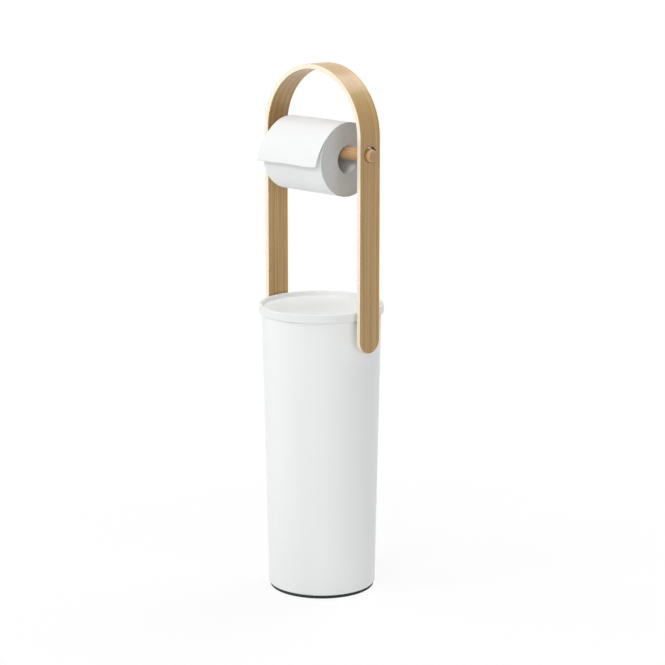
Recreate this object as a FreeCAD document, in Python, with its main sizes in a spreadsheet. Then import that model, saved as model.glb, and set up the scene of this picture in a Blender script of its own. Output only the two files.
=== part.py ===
import FreeCAD, Part
import os
import Sketcher
from FreeCAD import Placement, Rotation, Vector

# Toilet paper stand: a tapered canister for spare rolls under a cap lid, and a bent wood strip
# that rises from the canister's sides and carries a loose dowel with the roll in use.
# Sizes are in millimetres and degrees. The origin is the middle of the base on the floor,
# +Z is up, +X runs along the dowel, and the loose end of the paper hangs on the -Y side.

doc = FreeCAD.newDocument("toilet_paper_stand")
sheet = doc.addObject("Spreadsheet::Sheet", "sizes")

SIZES = [
    ("pad_thickness", 4.2, "non-slip pad under the canister"),
    ("pad_inset", 1.6, "pad's edge inside the canister's underside edge"),
    ("pad_bevel", 0.8, "bevel on the pad's lower edge"),
    ("canister_height", 353.0, "canister's underside to its rim"),
    ("base_radius", 67.4, "canister's outer radius at its underside"),
    ("rim_radius", 74.55, "canister's outer radius at its rim"),
    ("canister_wall", 2.5, "moulded wall, measured level"),
    ("canister_floor", 3.0, "moulded floor"),
    ("base_round", 1.5, "rounding round the underside"),
    ("floor_round", 4.0, "rounding inside, between floor and wall"),
    ("rim_round", 0.6, "rounding on the rim's two edges"),
    ("skirt_clearance", 0.45, "lid's skirt clear of the rim"),
    ("skirt_wall", 2.5, "lid's skirt"),
    ("skirt_drop", 3.4, "lid's skirt below the rim"),
    ("skirt_round", 1.8, "rounding under the skirt's outer edge"),
    ("lid_web", 2.0, "floor of the lid's tray, which rests on the rim"),
    ("tray_depth", 6.0, "tray's floor below the lid's top edge"),
    ("tray_rim", 2.9, "width of the lid's raised edge"),
    ("tray_rim_round", 1.35, "rounding on the raised edge"),
    ("tray_round", 2.5, "rounding between the tray's floor and its edge"),
    ("strip_width", 33.0, "bent wood strip, front to back"),
    ("strip_thickness", 5.9, "bent wood strip"),
    ("strip_arris", 0.5, "rounding on the strip's long edges"),
    ("lid_side_gap", 1.6, "arm's inner face clear of the lid"),
    ("arm_lap", 43.1, "arm's lower end below the rim"),
    ("arm_rise", 220.4, "start of the half-round top above the rim"),
    ("tip_flat", 0.1, "flat left in the middle of an arm's round end"),
    ("saddle_width", 20.0, "spacer between arm and canister, front to back"),
    ("saddle_height", 26.0, "spacer, up and down"),
    ("saddle_corner", 5.0, "spacer's corner radius"),
    ("saddle_drop", 22.2, "spacer's middle below the rim"),
    ("bed_gap", 0.1, "spacer's hollow face clear of the wall"),
    ("screw_pitch", 14.0, "upper screw above the lower screw"),
    ("screw_diameter", 3.5, "machine screw"),
    ("screw_hole_play", 0.3, "screw holes over the screw"),
    ("screw_reach", 3.8, "screw's end past the arm's inner face"),
    ("head_diameter", 7.0, "pan head"),
    ("head_height", 2.6, "pan head"),
    ("head_crown", 0.9, "bevel round the pan head"),
    ("washer_diameter", 9.0, "plain washer"),
    ("washer_thickness", 0.8, "plain washer"),
    ("boss_diameter", 12.0, "flat seat for a washer inside the canister"),
    ("boss_height", 0.9, "seat stands proud of the inner wall"),
    ("insert_diameter", 6.0, "threaded insert in the arm"),
    ("insert_depth", 4.5, "blind hole for the insert"),
    ("insert_play", 0.1, "blind hole over the insert"),
    ("thread_play", 0.2, "insert's bore over the screw"),
    ("dowel_diameter", 16.0, "loose dowel"),
    ("dowel_overhang", 5.0, "dowel's end beyond the arm"),
    ("dowel_end_round", 3.6, "rounding on the dowel's ends"),
    ("hole_play", 3.6, "arm's hole over the dowel"),
    ("hole_drop", 18.7, "hole's middle below the start of the half-round top"),
    ("rest_gap", 0.3, "running clearance where the dowel and the roll rest"),
    ("roll_diameter", 90.6, "paper roll"),
    ("roll_length", 103.2, "paper roll and its core"),
    ("roll_shift", -5.2, "roll's middle from the stand's middle, along the dowel"),
    ("core_bore", 33.4, "inside of the cardboard core"),
    ("core_wall", 1.0, "cardboard core"),
    ("wind_gap", 0.05, "first turn of paper clear of the core"),
    ("tail_thickness", 0.5, "loose sheet"),
    ("tail_gap", 0.1, "loose sheet clear of the roll where it leaves it"),
    ("tail_leave_angle", 53.9, "where the sheet leaves the roll, above level, at the front"),
    ("tail_bend_radius", 73.8, "curve of the loose sheet"),
    ("tail_turn_angle", 39.6, "angle through which the loose sheet curves"),
]

for row, (alias, size, meaning) in enumerate(SIZES, start=1):
    sheet.set(f"A{row}", meaning)
    sheet.set(f"B{row}", str(size))
    sheet.setAlias(f"B{row}", alias)
doc.recompute()

# Heights and distances that several pieces share, worked out from the sizes
RIM_Z = "(sizes.pad_thickness + sizes.canister_height)"
WALL_SLOPE = "((sizes.rim_radius - sizes.base_radius) / sizes.canister_height)"
TRAY_Z = f"({RIM_Z} + sizes.lid_web)"
LID_TOP_Z = f"({TRAY_Z} + sizes.tray_depth)"
LID_RADIUS = "(sizes.rim_radius + sizes.skirt_clearance + sizes.skirt_wall)"
ARM_INNER = f"({LID_RADIUS} + sizes.lid_side_gap)"
ARM_OUTER = f"({ARM_INNER} + sizes.strip_thickness)"
ARM_TIP_Z = f"({RIM_Z} - sizes.arm_lap)"
SPRING_Z = f"({RIM_Z} + sizes.arm_rise)"
SADDLE_Z = f"({RIM_Z} - sizes.saddle_drop)"
LOW_SCREW_Z = f"({SADDLE_Z} - sizes.screw_pitch / 2)"
HIGH_SCREW_Z = f"({SADDLE_Z} + sizes.screw_pitch / 2)"
SCREW_HOLE_RADIUS = "((sizes.screw_diameter + sizes.screw_hole_play) / 2)"
WALL_AT_SADDLE = f"(sizes.rim_radius - {WALL_SLOPE} * sizes.saddle_drop)"
BOSS_FACE = f"({WALL_AT_SADDLE} - sizes.canister_wall - sizes.boss_height)"
HEAD_FACE = f"({BOSS_FACE} - sizes.washer_thickness)"
HOLE_Z = f"({SPRING_Z} - sizes.hole_drop)"
HOLE_RADIUS = "((sizes.dowel_diameter + sizes.hole_play) / 2)"
DOWEL_Z = f"({HOLE_Z} - sizes.hole_play / 2 + sizes.rest_gap)"
DOWEL_HALF = f"({ARM_OUTER} + sizes.dowel_overhang)"
ROLL_Z = f"({DOWEL_Z} + sizes.dowel_diameter / 2 + sizes.rest_gap - sizes.core_bore / 2)"
ROLL_START = "(sizes.roll_shift - sizes.roll_length / 2)"
CORE_RADIUS = "(sizes.core_bore / 2 + sizes.core_wall)"
TAIL_START = "(sizes.roll_diameter / 2 + sizes.tail_gap)"

TOLERANCE = 0.01

# The most of a wall that a rounding may take: each of two that face each other, or one alone
PAIR_SHARE = 0.47
LONE_SHARE = 0.9


def value(expression):
    """The number that an expression on the sizes gives now."""
    return float(sheet.evalExpression(expression))


def new_body(label):
    body = doc.addObject("PartDesign::Body", label)
    body.Label = label
    return body


def origin_part(body, role):
    """A plane or an axis of the body's own origin."""
    return next(part for part in body.Origin.OriginFeatures if part.Role == role)


def new_sketch(body, name, role, along_normal=None, up=None):
    """A sketch on an origin plane, moved along the plane's normal or up the plane if asked."""
    sketch = body.newObject("Sketcher::SketchObject", name)
    sketch.AttachmentSupport = [(origin_part(body, role), "")]
    sketch.MapMode = "FlatFace"
    if along_normal is not None:
        sketch.setExpression("AttachmentOffset.Base.z", along_normal)
    if up is not None:
        sketch.setExpression("AttachmentOffset.Base.y", up)
    return sketch


def bind_dimension(sketch, kind, ends, expression):
    """Adds one dimension to a sketch and ties it to an expression."""
    index = sketch.addConstraint(Sketcher.Constraint(kind, *ends, value(expression)))
    name = f"size_{index}"
    sketch.renameConstraint(index, name)
    sketch.setExpression(f"Constraints.{name}", expression)


def pin_point(sketch, geometry, point, across, up):
    """Ties a point of the sketch to its two distances from the sketch's origin."""
    for kind, expression, axis in (("DistanceX", across, -2), ("DistanceY", up, -1)):
        if expression == "0":
            sketch.addConstraint(Sketcher.Constraint("PointOnObject", geometry, point, axis))
        else:
            bind_dimension(sketch, kind, (-1, 1, geometry, point), expression)


def add_polygon(sketch, corners):
    """A closed outline of straight lines whose corners are given as expressions."""
    points = [Vector(value(across), value(up), 0) for across, up in corners]
    ends = points[1:] + points[:1]
    lines = [sketch.addGeometry(Part.LineSegment(a, b), False) for a, b in zip(points, ends)]
    for line, following in zip(lines, lines[1:] + lines[:1]):
        sketch.addConstraint(Sketcher.Constraint("Coincident", line, 2, following, 1))
    for line, (across, up) in zip(lines, corners):
        pin_point(sketch, line, 1, across, up)


def add_circle(sketch, across, up, radius):
    centre = Vector(value(across), value(up), 0)
    circle = sketch.addGeometry(Part.Circle(centre, Vector(0, 0, 1), value(radius)), False)
    pin_point(sketch, circle, 3, across, up)
    bind_dimension(sketch, "Radius", (circle,), radius)


def add_pad(body, sketch, length, symmetric=False, reverse=False):
    pad = body.newObject("PartDesign::Pad", sketch.Name + "_pad")
    pad.Profile = sketch
    pad.SideType = "Symmetric" if symmetric else "One side"
    pad.Reversed = reverse
    pad.setExpression("Length", length)
    doc.recompute()
    return pad


def cut_volume(body, before):
    """Stops the build if the last cut took nothing away."""
    if before - body.Shape.Volume < TOLERANCE:
        raise RuntimeError(f"a cut in {body.Label} removed nothing")


def add_pocket(body, sketch, depth=None, reverse=False):
    """Cuts a sketch to a depth, or through everything on both sides of the sketch."""
    before = body.Shape.Volume
    pocket = body.newObject("PartDesign::Pocket", sketch.Name + "_cut")
    pocket.Profile = sketch
    pocket.Reversed = reverse
    if depth is None:
        pocket.SideType = "Symmetric"
        pocket.Type = "ThroughAll"
    else:
        pocket.setExpression("Length", depth)
    doc.recompute()
    cut_volume(body, before)
    return pocket


def add_turning(body, sketch, axis, kind="Revolution", angle=None):
    """Turns a sketch about one of its own axes, to add material or to cut it."""
    before = body.Shape.Volume if kind == "Groove" else None
    turning = body.newObject("PartDesign::" + kind, sketch.Name + "_turned")
    turning.Profile = sketch
    turning.ReferenceAxis = (sketch, [axis])
    turning.Angle = 360
    if angle is not None:
        turning.setExpression("Angle", angle)
    doc.recompute()
    if before is not None:
        cut_volume(body, before)
    return turning


def add_mirror(body, feature):
    """Repeats a feature on the other side of the stand's middle plane."""
    mirror = body.newObject("PartDesign::Mirrored", feature.Name + "_mirror")
    mirror.Originals = [feature]
    mirror.MirrorPlane = (origin_part(body, "YZ_Plane"), [""])
    body.Tip = mirror
    doc.recompute()
    return mirror


def repeat_fasteners(body, feature):
    """Copies one fastener to the four screw places: two heights on each side."""
    multi = body.newObject("PartDesign::MultiTransform", feature.Name + "_set")
    multi.Originals = [feature]
    upward = body.newObject("PartDesign::LinearPattern", feature.Name + "_pair")
    upward.Direction = (origin_part(body, "Z_Axis"), [""])
    upward.setExpression("Length", "sizes.screw_pitch")
    upward.Occurrences = 2
    across = body.newObject("PartDesign::Mirrored", feature.Name + "_sides")
    across.MirrorPlane = (origin_part(body, "YZ_Plane"), [""])
    multi.Transformations = [upward, across]
    body.Tip = multi
    doc.recompute()
    return multi


def circle_edges(shape, rings):
    """Names of the level circular edges with these radii and heights."""
    names = []
    for number, edge in enumerate(shape.Edges, start=1):
        if not isinstance(edge.Curve, Part.Circle):
            continue
        curve = edge.Curve
        for radius, height in rings:
            near = abs(curve.Radius - radius) < TOLERANCE and abs(curve.Center.z - height) < TOLERANCE
            if near and abs(curve.Axis.z) > 1 - TOLERANCE:
                names.append(f"Edge{number}")
    return names


def end_edges(shape, radius, distance):
    """Names of the circular edges of a rod along X, at that distance either side of the middle."""
    names = []
    for number, edge in enumerate(shape.Edges, start=1):
        if not isinstance(edge.Curve, Part.Circle):
            continue
        at_end = abs(abs(edge.Curve.Center.x) - distance) < TOLERANCE
        if at_end and abs(edge.Curve.Radius - radius) < TOLERANCE:
            names.append(f"Edge{number}")
    return names


def dress_edges(body, kind, names, size):
    """Rounds or bevels edges of the body's last feature."""
    if not names:
        raise RuntimeError(f"no edge found to dress on {body.Label}")
    base = body.Tip
    dressed = body.newObject("PartDesign::" + kind, f"{body.Label}_{kind}_{len(body.Group)}")
    dressed.Base = (base, names)
    dressed.setExpression("Radius" if kind == "Fillet" else "Size", size)
    doc.recompute()
    return dressed


def make_base_pad():
    """Black non-slip disc, flat on the floor, with a bevelled lower edge."""
    body = new_body("base_pad")
    outline = new_sketch(body, "pad_outline", "XY_Plane")
    radius = "(sizes.base_radius - sizes.pad_inset)"
    add_circle(outline, "0", "0", radius)
    add_pad(body, outline, "sizes.pad_thickness")
    dress_edges(body, "Chamfer", circle_edges(body.Shape, [(value(radius), 0)]), "sizes.pad_bevel")
    return body


def make_canister_body():
    """Moulded canister: a tapered wall on a floor, with flat seats inside for the screws' washers."""
    body = new_body("canister_body")
    wall = new_sketch(body, "canister_wall", "XZ_Plane")
    floor_z = "(sizes.pad_thickness + sizes.canister_floor)"
    floor_inner = f"(sizes.base_radius + {WALL_SLOPE} * sizes.canister_floor - sizes.canister_wall)"
    rim_inner = "(sizes.rim_radius - sizes.canister_wall)"
    add_polygon(
        wall,
        [
            ("0", "sizes.pad_thickness"),
            ("sizes.base_radius", "sizes.pad_thickness"),
            ("sizes.rim_radius", RIM_Z),
            (rim_inner, RIM_Z),
            (floor_inner, floor_z),
            ("0", floor_z),
        ],
    )
    add_turning(body, wall, "V_Axis")
    underside = [(value("sizes.base_radius"), value("sizes.pad_thickness"))]
    dress_edges(body, "Fillet", circle_edges(body.Shape, underside), "sizes.base_round")
    inside = [(value(floor_inner), value(floor_z))]
    dress_edges(body, "Fillet", circle_edges(body.Shape, inside), "sizes.floor_round")
    rim = [(value("sizes.rim_radius"), value(RIM_Z)), (value(rim_inner), value(RIM_Z))]
    rim_round = f"min(sizes.rim_round; sizes.canister_wall * {PAIR_SHARE})"
    dress_edges(body, "Fillet", circle_edges(body.Shape, rim), rim_round)
    bosses = new_sketch(body, "washer_seats", "YZ_Plane", along_normal=BOSS_FACE)
    screw_holes = new_sketch(body, "screw_holes", "YZ_Plane")
    for height in (LOW_SCREW_Z, HIGH_SCREW_Z):
        add_circle(bosses, "0", height, "(sizes.boss_diameter / 2)")
        add_circle(screw_holes, "0", height, SCREW_HOLE_RADIUS)
    seats = add_pad(body, bosses, "sizes.boss_height + sizes.canister_wall / 2")
    add_mirror(body, seats)
    add_pocket(body, screw_holes)
    return body


def make_lid():
    """Cap lid: a shallow tray with a raised rounded edge, and a skirt that drops over the rim."""
    body = new_body("lid")
    section = new_sketch(body, "lid_section", "XZ_Plane")
    skirt_inner = "(sizes.rim_radius + sizes.skirt_clearance)"
    skirt_z = f"({RIM_Z} - sizes.skirt_drop)"
    tray_radius = f"({LID_RADIUS} - sizes.tray_rim)"
    add_polygon(
        section,
        [
            ("0", RIM_Z),
            (skirt_inner, RIM_Z),
            (skirt_inner, skirt_z),
            (LID_RADIUS, skirt_z),
            (LID_RADIUS, LID_TOP_Z),
            (tray_radius, LID_TOP_Z),
            (tray_radius, TRAY_Z),
            ("0", TRAY_Z),
        ],
    )
    add_turning(body, section, "V_Axis")
    lid_radius = value(LID_RADIUS)
    tray_edge = value(tray_radius)
    corner = [(tray_edge, value(TRAY_Z))]
    dress_edges(body, "Fillet", circle_edges(body.Shape, corner), "sizes.tray_round")
    raised_edge = [(lid_radius, value(LID_TOP_Z)), (tray_edge, value(LID_TOP_Z))]
    edge_round = f"min(sizes.tray_rim_round; sizes.tray_rim * {PAIR_SHARE})"
    dress_edges(body, "Fillet", circle_edges(body.Shape, raised_edge), edge_round)
    skirt_edge = [(lid_radius, value(skirt_z))]
    skirt_round = f"min(sizes.skirt_round; sizes.skirt_wall * {LONE_SHARE})"
    dress_edges(body, "Fillet", circle_edges(body.Shape, skirt_edge), skirt_round)
    return body


def add_arch_outline(sketch):
    """The strip seen from the front: two half circles about one centre, and two straight arms."""
    spring = value(SPRING_Z)
    tip = value(ARM_TIP_Z)
    centre = Vector(0, spring, 0)
    half_turn = FreeCAD.Units.parseQuantity("180 deg").getValueAs("rad").Value
    arcs = []
    for expression in (ARM_OUTER, ARM_INNER):
        round_top = Part.ArcOfCircle(Part.Circle(centre, Vector(0, 0, 1), value(expression)), 0, half_turn)
        arc = sketch.addGeometry(round_top, False)
        pin_point(sketch, arc, 3, "0", SPRING_Z)
        bind_dimension(sketch, "Radius", (arc,), expression)
        arcs.append(arc)
    outer, inner = arcs
    for side, arc_end in ((1, 1), (-1, 2)):
        far = side * value(ARM_OUTER)
        near = side * value(ARM_INNER)
        flank = sketch.addGeometry(Part.LineSegment(Vector(far, spring, 0), Vector(far, tip, 0)), False)
        foot = sketch.addGeometry(Part.LineSegment(Vector(far, tip, 0), Vector(near, tip, 0)), False)
        face = sketch.addGeometry(Part.LineSegment(Vector(near, tip, 0), Vector(near, spring, 0)), False)
        sketch.addConstraint(Sketcher.Constraint("Tangent", outer, arc_end, flank, 1))
        sketch.addConstraint(Sketcher.Constraint("Coincident", flank, 2, foot, 1))
        sketch.addConstraint(Sketcher.Constraint("Coincident", foot, 2, face, 1))
        sketch.addConstraint(Sketcher.Constraint("Tangent", inner, arc_end, face, 2))
        sketch.addConstraint(Sketcher.Constraint("Horizontal", foot))
        sketch.addConstraint(Sketcher.Constraint("Vertical", flank))
        sketch.addConstraint(Sketcher.Constraint("Vertical", face))
        bind_dimension(sketch, "DistanceY", (-1, 1, foot, 1), ARM_TIP_Z)


def arm_tip_edges(shape):
    """Names of the four short edges across the strip's thickness at the arms' lower ends."""
    half_width = value("sizes.strip_width / 2")
    tip = value(ARM_TIP_Z)
    names = []
    for number, edge in enumerate(shape.Edges, start=1):
        middle = edge.BoundBox.Center
        short = edge.BoundBox.YLength < TOLERANCE and edge.BoundBox.ZLength < TOLERANCE
        if short and abs(middle.z - tip) < TOLERANCE and abs(abs(middle.y) - half_width) < TOLERANCE:
            names.append(f"Edge{number}")
    return names


def long_strip_edges(shape):
    """Names of the half-round top's four edges, from which the rounding runs on down the arms."""
    radii = (value(ARM_OUTER), value(ARM_INNER))
    names = []
    for number, edge in enumerate(shape.Edges, start=1):
        if not isinstance(edge.Curve, Part.Circle):
            continue
        if any(abs(edge.Curve.Radius - radius) < TOLERANCE for radius in radii):
            names.append(f"Edge{number}")
    return names


def make_bentwood_arch():
    """One bent strip: round-ended arms, two dowel holes and blind holes for the inserts."""
    body = new_body("bentwood_arch")
    outline = new_sketch(body, "arch_outline", "XZ_Plane")
    add_arch_outline(outline)
    add_pad(body, outline, "sizes.strip_width", symmetric=True)
    tip_round = "(sizes.strip_width - sizes.tip_flat) / 2"
    dress_edges(body, "Fillet", arm_tip_edges(body.Shape), tip_round)
    dress_edges(body, "Fillet", long_strip_edges(body.Shape), "sizes.strip_arris")
    dowel_holes = new_sketch(body, "dowel_holes", "YZ_Plane")
    add_circle(dowel_holes, "0", HOLE_Z, HOLE_RADIUS)
    add_pocket(body, dowel_holes)
    blind_holes = new_sketch(body, "insert_holes", "YZ_Plane", along_normal=ARM_INNER)
    for height in (LOW_SCREW_Z, HIGH_SCREW_Z):
        add_circle(blind_holes, "0", height, "((sizes.insert_diameter + sizes.insert_play) / 2)")
    sockets = add_pocket(body, blind_holes, "sizes.insert_depth", reverse=True)
    add_mirror(body, sockets)
    return body


def make_saddle(label, side):
    """Spacer on one side: flat against the arm, hollow against the tapered canister."""
    body = new_body(label)
    arm_face = f"({side} * {ARM_INNER})"
    plate = new_sketch(body, label + "_plate", "YZ_Plane", along_normal=arm_face)
    half_width = "(sizes.saddle_width / 2)"
    low = f"({SADDLE_Z} - sizes.saddle_height / 2)"
    high = f"({SADDLE_Z} + sizes.saddle_height / 2)"
    add_polygon(
        plate,
        [
            (f"-{half_width}", low),
            (half_width, low),
            (half_width, high),
            (f"-{half_width}", high),
        ],
    )
    depth = f"({ARM_INNER} - {WALL_AT_SADDLE} + sizes.canister_wall)"
    add_pad(body, plate, depth, reverse=side > 0)
    corners = []
    for number, edge in enumerate(body.Shape.Edges, start=1):
        if edge.BoundBox.YLength < TOLERANCE and edge.BoundBox.ZLength < TOLERANCE:
            corners.append(f"Edge{number}")
    widest = f"min(sizes.saddle_width; sizes.saddle_height) * {PAIR_SHARE}"
    corner_round = f"min(sizes.saddle_corner; {widest})"
    dress_edges(body, "Fillet", corners, corner_round)
    canister = new_sketch(body, label + "_hollow", "XZ_Plane")
    add_polygon(
        canister,
        [
            ("0", "sizes.pad_thickness"),
            ("(sizes.base_radius + sizes.bed_gap)", "sizes.pad_thickness"),
            ("(sizes.rim_radius + sizes.bed_gap)", RIM_Z),
            ("0", RIM_Z),
        ],
    )
    add_turning(body, canister, "V_Axis", kind="Groove")
    holes = new_sketch(body, label + "_holes", "YZ_Plane")
    for height in (LOW_SCREW_Z, HIGH_SCREW_Z):
        add_circle(holes, "0", height, SCREW_HOLE_RADIUS)
    add_pocket(body, holes)
    return body


def make_fastener_set(label, section):
    """Four copies of a turned fastener whose half section is drawn on the lower right screw's axis."""
    body = new_body(label)
    body.AllowCompound = True
    sketch = new_sketch(body, label + "_section", "XZ_Plane", up=LOW_SCREW_Z)
    add_polygon(sketch, section)
    turned = add_turning(body, sketch, "H_Axis")
    repeat_fasteners(body, turned)
    return body


def make_fasteners():
    """Screws from inside the canister, their washers, and the inserts that they screw into."""
    screw_radius = "(sizes.screw_diameter / 2)"
    head_radius = "(sizes.head_diameter / 2)"
    head_top = f"({HEAD_FACE} - sizes.head_height)"
    screw = [
        (head_top, "0"),
        (head_top, f"({head_radius} - sizes.head_crown)"),
        (f"({head_top} + sizes.head_crown)", head_radius),
        (HEAD_FACE, head_radius),
        (HEAD_FACE, screw_radius),
        (f"({ARM_INNER} + sizes.screw_reach)", screw_radius),
        (f"({ARM_INNER} + sizes.screw_reach)", "0"),
    ]
    washer_radius = "(sizes.washer_diameter / 2)"
    washer = [
        (HEAD_FACE, SCREW_HOLE_RADIUS),
        (HEAD_FACE, washer_radius),
        (BOSS_FACE, washer_radius),
        (BOSS_FACE, SCREW_HOLE_RADIUS),
    ]
    insert_end = f"({ARM_INNER} + sizes.insert_depth)"
    insert_radius = "(sizes.insert_diameter / 2)"
    thread_radius = "((sizes.screw_diameter + sizes.thread_play) / 2)"
    insert = [
        (ARM_INNER, thread_radius),
        (ARM_INNER, insert_radius),
        (insert_end, insert_radius),
        (insert_end, thread_radius),
    ]
    return [
        make_fastener_set("arm_screws", screw),
        make_fastener_set("screw_washers", washer),
        make_fastener_set("threaded_inserts", insert),
    ]


def make_dowel():
    """Plain round rod with softened ends, lying on the lower side of the arms' holes."""
    body = new_body("dowel")
    section = new_sketch(body, "dowel_section", "YZ_Plane")
    add_circle(section, "0", DOWEL_Z, "(sizes.dowel_diameter / 2)")
    add_pad(body, section, f"2 * {DOWEL_HALF}", symmetric=True)
    ends = end_edges(body.Shape, value("sizes.dowel_diameter / 2"), value(DOWEL_HALF))
    end_round = f"min(sizes.dowel_end_round; sizes.dowel_diameter * {PAIR_SHARE})"
    dress_edges(body, "Fillet", ends, end_round)
    return body


def make_sleeve(label, inner, outer):
    """A plain tube along the dowel, as long as the roll and round the roll's own middle."""
    body = new_body(label)
    section = new_sketch(body, label + "_section", "YZ_Plane", along_normal=ROLL_START)
    add_circle(section, "0", ROLL_Z, outer)
    add_circle(section, "0", ROLL_Z, inner)
    add_pad(body, section, "sizes.roll_length")
    return body


def make_roll():
    """The cardboard core hangs on the dowel, and the wound paper is on the core."""
    core = make_sleeve("cardboard_core", "(sizes.core_bore / 2)", CORE_RADIUS)
    paper = make_sleeve("paper_roll", f"({CORE_RADIUS} + sizes.wind_gap)", "(sizes.roll_diameter / 2)")
    return [core, paper]


def make_paper_tail():
    """The loose sheet: it leaves the roll along the tangent and opens out in a wider curve.

    It is drawn as a thin strip standing on the curve's axis and turned about that axis. The body is
    then placed so that the strip starts on the roll, square to the line from the roll's middle.
    """
    body = new_body("paper_tail")
    strip = new_sketch(body, "tail_strip", "XZ_Plane")
    outside = "(sizes.tail_bend_radius + sizes.tail_thickness)"
    roll_end = f"({ROLL_START} + sizes.roll_length)"
    add_polygon(
        strip,
        [
            (ROLL_START, "sizes.tail_bend_radius"),
            (roll_end, "sizes.tail_bend_radius"),
            (roll_end, outside),
            (ROLL_START, outside),
        ],
    )
    add_turning(body, strip, "H_Axis", angle="sizes.tail_turn_angle")
    lean = value("90 - sizes.tail_leave_angle")
    body.Placement = Placement(Vector(), Rotation(Vector(1, 0, 0), lean))
    inward = f"(sizes.tail_bend_radius - {TAIL_START})"
    body.setExpression("Placement.Base.y", f"{inward} * cos(sizes.tail_leave_angle * 1 deg)")
    body.setExpression("Placement.Base.z", f"{ROLL_Z} - {inward} * sin(sizes.tail_leave_angle * 1 deg)")
    body.setExpression("Placement.Rotation.Angle", "90 - sizes.tail_leave_angle")
    doc.recompute()
    return body


def check_document(bodies):
    """Stops before anything is written if an object failed or a piece has no sound shape."""
    for item in doc.Objects:
        if "Invalid" in item.State or "Error" in item.State:
            raise RuntimeError(f"{item.Label} failed: {item.State}")
    for body in bodies:
        if body.Shape.isNull() or not body.Shape.isValid() or not body.Shape.Solids:
            raise RuntimeError(f"{body.Label} has no sound shape")


pieces = [make_base_pad(), make_canister_body(), make_lid(), make_bentwood_arch()]
pieces += [make_saddle("right_saddle", 1), make_saddle("left_saddle", -1)]
pieces += make_fasteners()
pieces.append(make_dowel())
pieces += make_roll()
pieces.append(make_paper_tail())
doc.recompute()
check_document(pieces)

os.makedirs("parts", exist_ok=True)
for piece in pieces:
    piece.Shape.exportStep(os.path.join("parts", piece.Label + ".step"))
    box = piece.Shape.BoundBox
    corners = [round(v, 2) for v in (box.XMin, box.XMax, box.YMin, box.YMax, box.ZMin, box.ZMax)]
    print(piece.Label, len(piece.Shape.Solids), "solids", round(piece.Shape.Volume, 1), "mm3", corners)
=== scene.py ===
# %% [markdown]
# # A toilet paper stand, dressed for its picture
# The stand is a white moulded canister that keeps spare rolls under a cap lid. A strip of bent wood rises
# from the canister's two sides and closes over the top in a half circle, and a loose dowel through the
# strip carries the roll in use. The solid model already has every piece at its real size, so this lesson
# loads it as a fixed frame and gives each piece its finish. Some pieces are modelled again, because their
# solids are plainer than the real thing: the lid with its roundings, the wound paper, its outermost turn
# with the loose end, the board tube and the screws.

# %% Load the frame
import math

import bmesh
import bpy
import numpy as np
from mathutils import Matrix, Vector


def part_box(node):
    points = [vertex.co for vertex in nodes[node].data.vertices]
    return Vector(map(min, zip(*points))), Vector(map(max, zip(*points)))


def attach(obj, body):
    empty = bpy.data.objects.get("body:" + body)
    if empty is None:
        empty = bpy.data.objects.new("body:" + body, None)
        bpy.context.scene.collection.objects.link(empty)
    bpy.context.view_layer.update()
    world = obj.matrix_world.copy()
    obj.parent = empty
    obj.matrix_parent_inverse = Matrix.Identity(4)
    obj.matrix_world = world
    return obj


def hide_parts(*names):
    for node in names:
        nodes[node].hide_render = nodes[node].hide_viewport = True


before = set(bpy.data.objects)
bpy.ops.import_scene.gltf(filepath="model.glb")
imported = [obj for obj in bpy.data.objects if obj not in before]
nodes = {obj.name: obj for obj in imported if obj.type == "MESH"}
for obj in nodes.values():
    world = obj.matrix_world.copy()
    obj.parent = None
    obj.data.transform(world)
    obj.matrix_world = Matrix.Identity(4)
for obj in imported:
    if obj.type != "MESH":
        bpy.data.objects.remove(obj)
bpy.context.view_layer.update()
MM = 0.001

# %% [markdown]
# ## Measuring the frame
# A finish that follows a form, such as grain that runs round a bend, needs the form's own centre and
# radius. They could be typed in, but then a changed model would leave the finish behind. So they are read
# from the boxes of the pieces, in millimetres.

# %% Read the sizes that the finishes and the new pieces share
def box_mm(node):
    """The lowest and the highest corner of a piece of the frame, in millimetres."""
    low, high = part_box(node)
    return np.array(low) / MM, np.array(high) / MM


arch_low, arch_high = box_mm("bentwood_arch")
ARCH_RADIUS = (arch_high[0] - arch_low[0]) / 2
SPRING_HEIGHT = arch_high[2] - ARCH_RADIUS

roll_low, roll_high = box_mm("paper_roll")
ROLL_LEFT, ROLL_RIGHT = roll_low[0], roll_high[0]
ROLL_LENGTH = ROLL_RIGHT - ROLL_LEFT
ROLL_RADIUS = (roll_high[2] - roll_low[2]) / 2
ROLL_AXIS = (roll_high[2] + roll_low[2]) / 2

core_low, core_high = box_mm("cardboard_core")
CORE_RADIUS = (core_high[2] - core_low[2]) / 2

dowel_low, dowel_high = box_mm("dowel")
DOWEL_AXIS = (dowel_high[2] + dowel_low[2]) / 2
DOWEL_RADIUS = dowel_high[1]
DOWEL_END = dowel_high[0]

screw_low, screw_high = box_mm("arm_screws")
HEAD_RADIUS = screw_high[1]
SCREW_TIP = screw_high[0]
SCREW_HEIGHTS = (screw_low[2] + HEAD_RADIUS, screw_high[2] - HEAD_RADIUS)

print("arch radius", round(ARCH_RADIUS, 2), "from height", round(SPRING_HEIGHT, 2))
print("roll radius", round(ROLL_RADIUS, 2), "about height", round(ROLL_AXIS, 2))
print("screws at heights", [round(height, 1) for height in SCREW_HEIGHTS])

# %% [markdown]
# ## Writing shader maths as sums
# A procedural finish is a small calculation that runs at every point of a surface. In the node editor each
# plus and times is a box with wires, which is hard to read. Here a wrapped socket stands for a value on its
# way, and Python's own signs add the Math nodes. Every other node comes from a single method, so a material
# below reads like its recipe.

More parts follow.
